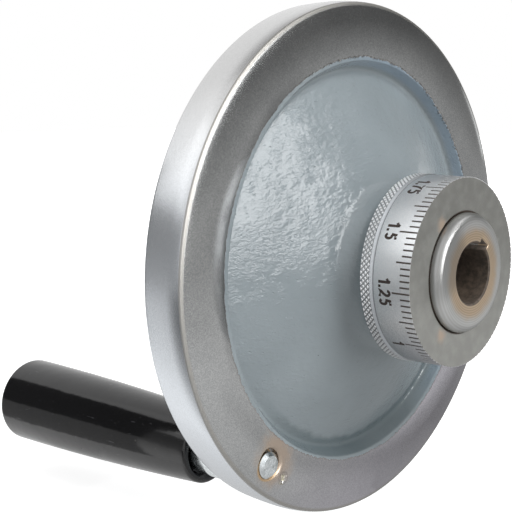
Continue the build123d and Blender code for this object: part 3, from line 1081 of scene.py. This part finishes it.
# The front face is painted lighter lower down: a painted reflection.
end_steel_painted_light = two_way(streaks, up.rise(14, -18), (tone(142, 142, 138), tone(158, 158, 154)),
                    (tone(160, 160, 156), tone(174, 174, 170)))
# The scale is painted brighter at the top and greyer lower down: painted light.
steel_tone = layered(
    two_way(grain.rise(0.3, 0.7), up.rise(-16, 4), (tone(190, 192, 194), tone(240, 243, 246)),
            (tone(216, 217, 218), tone(252, 253, 254))),
    (in_groove * 0.55, tone(86, 88, 90)),
    (bevel * 0.7, tone(158, 164, 170)),
    (seam * 0.8, tone(76, 82, 90)),
    (on_end, (spots * 0.6).mix(end_steel_painted_light, tone(172, 146, 122))),
    (in_mark, tone(84, 74, 66)))
dial_satin = (place.noise(0.0003, 2.0, 20.0) * 0.05).bump(0.0001)
connect(shader, Base_Color=steel_tone, Metallic=1.0 - in_mark * 0.9 - spots * on_end * 0.4,
        Roughness=0.33 + on_end * 0.15 + in_mark * 0.2 + in_groove * 0.2, Normal=dial_satin)
dial = piece("dial", *skin(dial_grid, True), dial_finish, sharp=25)
dress(dial, "dial", "dial_steel", "dial_ring")
print("dial steel", len(dial_finish.node_tree.nodes), "nodes")

# %% [markdown]
# ## The numbers
#
# Each figure was stamped and filled with dark paint. A font would give it rounded or tapered
# strokes, but a stamp cuts one plain width, so a figure is drawn here as pen strokes: lines of
# points in parts of its height, and a closed bar of one width along each. The bar is then bent
# round the dial, its foot towards the knurl, its top a hair above the steel and its underside let
# into it.

# %% Figures
figure_height = 4.1
figure_foot = 25.35
figure_lift, figure_depth = 0.012, 0.1
figure_gap = 0.12
stroke = 0.2


def bow(x, y, across, up, start, end):
    """Points of an arc of an ellipse between two angles in degrees: x + across * cosine and
    y + up * sine."""
    turn = np.radians(np.linspace(start, end, 13))
    return np.stack([x + across * np.cos(turn), y + up * np.sin(turn)], 1)


two_foot = [(0.30, 0.40), (0.15, 0.24), (0.09, 0.092), (0.53, 0.092)]
figures = {
    "0": (0.52, [bow(0.26, 0.5, 0.168, 0.41, 90, 450)]),
    "1": (0.37, [[(0.03, 0.71), (0.15, 0.775), (0.23, 0.86), (0.275, 1.0)],
                 [(0.278, 0.9), (0.278, 0.0)]]),
    "2": (0.53, [np.vstack([bow(0.262, 0.69, 0.17, 0.218, 170, -28), two_foot])]),
    "5": (0.51, [[(0.48, 0.91), (0.16, 0.91), (0.115, 0.53)],
                 bow(0.25, 0.34, 0.168, 0.25, 128, -148)]),
    "7": (0.48, [[(0.0, 0.905), (0.45, 0.905), (0.28, 0.62), (0.20, 0.33), (0.175, 0.0)]]),
    ".": (0.185, [[(0.0, 0.09), (0.185, 0.09)]]),
}
print("figures", *figures)


# %% Strokes and numbers
def ribbon(line, width):
    """Points, depths and faces of a closed bar along a line: each point is moved half a width to
    both sides, along the normal shared by its two sides and lengthened where they meet at an angle.
    The two rails at depth 0 are the bar's top and the same two at depth 1 its underside."""
    line = np.array(line, float)
    ring = np.allclose(line[0], line[-1])
    along = np.diff(line, axis=0)
    along /= np.linalg.norm(along, axis=1, keepdims=True)
    before = np.vstack([along[-1:] if ring else along[:1], along])
    after = np.vstack([along, along[:1] if ring else along[-1:]])
    mean = before + after
    mean /= np.linalg.norm(mean, axis=1, keepdims=True)
    stretch = 1 / np.clip((mean * before).sum(1), 0.6, 1)
    normal = np.stack([-mean[:, 1], mean[:, 0]], 1) * stretch[:, None] * width / 2
    if ring:
        line, normal = line[:-1], normal[:-1]
    count = len(line)
    points = np.concatenate([line + normal, line - normal] * 2)
    depth = np.repeat([0.0, 0.0, 1.0, 1.0], count)
    i = np.arange(count if ring else count - 1)
    j = (i + 1) % count
    left, right, low_left, low_right = (rail * count for rail in range(4))
    faces = [np.stack(side, 1) for side in (
        (left + i, right + i, right + j, left + j),
        (low_left + i, low_left + j, low_right + j, low_right + i),
        (left + i, left + j, low_left + j, low_left + i),
        (right + j, right + i, low_right + i, low_right + j))]
    if not ring:
        last = count - 1
        faces.append(np.array([[left, low_left, low_right, right],
                               [left + last, right + last, low_right + last, low_left + last]]))
    return points, depth, np.vstack(faces)


def lettering(text, angle):
    """Points on the dial and faces of a number centred at an angle. A point's step to the right
    over the radius is its turn, and its height is its station."""
    width = sum(figures[c][0] for c in text) + figure_gap * (len(text) - 1)
    points, depths, faces, used, at = [], [], [], 0, -width / 2
    for c in text:
        for line in figures[c][1]:
            flat, depth, quads = ribbon(line, stroke)
            points.append(flat + (at, 0))
            depths.append(depth)
            faces.append(quads + used)
            used += len(flat)
        at += figures[c][0] + figure_gap
    flat = np.vstack(points) * figure_height
    turn = angle + flat[:, 0] / scale_radius
    r = scale_radius + figure_lift - np.concatenate(depths) * (figure_lift + figure_depth)
    on_dial = np.stack([r * np.cos(turn), -(figure_foot + flat[:, 1]), r * np.sin(turn)], 1)
    return on_dial, np.vstack(faces)


number_points, number_faces, used = [], [], 0
for k in range(10):
    points, faces = lettering(f"{k * 0.25:g}", zero_mark - k * 2 * math.pi / 10)
    number_points.append(points)
    number_faces.append(faces + used)
    used += len(points)
filling, shader, place = finish("dark filling")
filling_tone = place.noise(0.0006, 2.0, 12.0).rise(0.3, 0.7).mix(tone(44, 36, 32), tone(62, 50, 44))
connect(shader, Base_Color=filling_tone, Roughness=0.55)
numbers = piece("dial_numbers", np.vstack(number_points), np.vstack(number_faces).tolist(), filling)
dress(numbers, "dial", "dial_steel")

# %% [markdown]
# ## The revolving grip
#
# The grip is moulded in black phenolic, swells towards its free end and turns on a plated spindle.
# It is a turned form on the handle's own axis, with its bore, so its section closes on itself. A
# cylinder pulled wider at one end would have straight sides. Here one arc through three points
# gives the belly. The gloss carries shallow waves from the mould, scuffs along the grip and specks.

# %% Grip
grip_base, grip_end = -24.6, -111.4
grip_radii = (10.75, 13.05, 14.0)
grip_bore, inner_mouth, neck_recess = 5.05, -103.4, (7.95, -27.4)
counterbore = 8.8


def arc_through(first, middle, last, count):
    """Points of the circle's arc through three points, found from the circle's centre, which is
    equally far from all three."""
    a, b, c = (np.array(p, float) for p in (first, middle, last))
    centre = np.linalg.solve(2 * np.array([b - a, c - a]), [b @ b - a @ a, c @ c - a @ a])
    start, end = (np.arctan2(*(p - centre)[::-1]) for p in (a, c))
    turn = np.unwrap([start, end])
    turn = np.linspace(turn[0], turn[1], count)
    return centre + np.linalg.norm(a - centre) * np.stack([np.cos(turn), np.sin(turn)], 1)


grip_side = arc_through((grip_radii[0], grip_base), (grip_radii[1], (grip_base + grip_end) / 2),
                        (grip_radii[2], grip_end), 40)
grip_line = section([
    *plain([(grip_bore, inner_mouth), (grip_bore, neck_recess[1]), neck_recess]),
    *plain([(neck_recess[0], -25.6), (8.95, grip_base)]),
    (grip_radii[0], grip_base, 1.0),
    *plain(grip_side[1:-1]),
    (grip_radii[2], grip_end, 1.0),
    *plain([(counterbore + 1.0, grip_end), (counterbore, grip_end + 1.0)]),
    *plain([(counterbore, inner_mouth)]),
])
phenolic, shader, place = finish("black phenolic moulding")
specks = place.noise(0.0010, 3.0, 21.0, 0.7).rise(0.68, 0.72)
along_grip = place.node("Mapping", {"Vector": place, "Scale": (1.0, 0.12, 1.0)})
scuffs = along_grip.noise(0.0006, 3.0, 22.0, 0.6).rise(0.66, 0.72)
mould_waves = (place.noise(0.009, 2.0, 23.0) * 0.9 + place.noise(0.0007, 2.0, 24.0) * 0.05
               - scuffs * 0.05)
phenolic_tone = layered(tone(12, 12, 14), (scuffs * 0.5, tone(74, 74, 80)),
                        (specks, tone(96, 94, 90)))
smears = place.noise(0.004, 3.0, 25.0) * 0.06
connect(shader, Base_Color=phenolic_tone, Specular_IOR_Level=0.6, Normal=mould_waves.bump(0.0002),
        Roughness=0.10 + specks * 0.3 + scuffs * 0.18 + smears)
grip_grid = turned(grip_line, round_steps(160), handle_centre)
grip = piece("handle_grip", *skin(grip_grid, True), phenolic)
dress(grip, "grip", "phenolic", "grip")

# %% [markdown]
# ## The spindle
#
# The spindle is one turned piece: a stud that is screwed through the rim from behind, a flange
# against the rim's back, a neck, and a long shank with a groove for the retaining ring. Its section
# starts and ends on the axis, so each end is closed by one point. A slot in its tail, for a
# screwdriver, is cut out. Bright zinc has small spangles, worn dark flecks and a dull stained end.

# %% Spindle
shank, groove_floor, flange, neck = 5.0, 4.8, 7.75, 7.25
spindle_line = section(plain([
    (3.0, 0.6), (4.0, -0.4), (4.0, rim_back),
    (flange, rim_back), (flange, -20.0), (neck, -20.5), (neck, -26.5), (6.55, -27.2),
    (shank, -27.2), (shank, -103.6), (shank, -104.8), (groove_floor, -104.8),
    (groove_floor, -105.9), (shank, -105.9), (shank, -108.5), (4.3, -109.2)]))
zinc, shader, place = finish("bright zinc plating")
spangle = place.noise(0.0008, 3.0, 31.0).rise(0.3, 0.7)
flecks = place.noise(0.0006, 2.0, 32.0).rise(0.68, 0.74)
stud_end = about_axis(place)[1].rise(0.4, 0.55)
end_stain = place.noise(0.0011, 3.0, 36.0).rise(0.50, 0.66) * stud_end
zinc_tone = layered(spangle.mix(tone(206, 212, 214), tone(232, 237, 239)),
                    (flecks, tone(96, 98, 96)), (end_stain * 0.6, tone(112, 118, 112)))
zinc_relief = place.noise(0.0005, 2.0, 33.0) * 0.3 - flecks * 0.6
connect(shader, Base_Color=zinc_tone, Metallic=1.0, Normal=zinc_relief.bump(0.0001),
        Roughness=0.20 + spangle * 0.08 + flecks * 0.3 + end_stain * 0.15)
spindle_grid = turned(spindle_line, round_steps(96), handle_centre)
spindle = piece("handle_spindle_turned", *skin(spindle_grid, False), zinc)
slot_tool = slab("slot_tool", handle_angle, handle_radius - 8.0, handle_radius + 8.0, 0.8, -107.2,
                 -112.0)
cut(spindle, slot_tool)
dress(spindle, "wheel", "zinc_plated_steel", "handle_spindle")

# %% [markdown]
# ## Spring, ring and washer
#
# The shapes of these three small pieces come from the frame as they are, so only their finish is
# made here. Spring steel that was heated turns blue in patches, and it is rubbed bright where it
# slides. The washer is plated like the spindle and takes the same zinc.

# %% Small steel pieces
blued, shader, place = finish("blued spring steel")
temper = place.noise(0.002, 3.0, 41.0).rise(0.3, 0.7)
rubbed = place.noise(0.0009, 3.0, 42.0).rise(0.60, 0.72)
blued_tone = layered(temper.mix(tone(66, 72, 88), tone(100, 100, 106)),
                     (rubbed * 0.7, tone(160, 158, 154)))
connect(shader, Base_Color=blued_tone, Metallic=1.0, Roughness=0.26 + rubbed * 0.14,
        Normal=place.noise(0.0004, 2.0, 43.0).bump(0.00003))
for name, material in (("dial_spring", blued), ("retaining_ring", blued), ("thrust_washer", zinc)):
    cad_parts[name].data.materials.clear()
    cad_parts[name].data.materials.append(material)
    print(name, "in", material.name)

# %% [markdown]
# ## The size
#
# The dressed wheel stays inside the box of the solids.
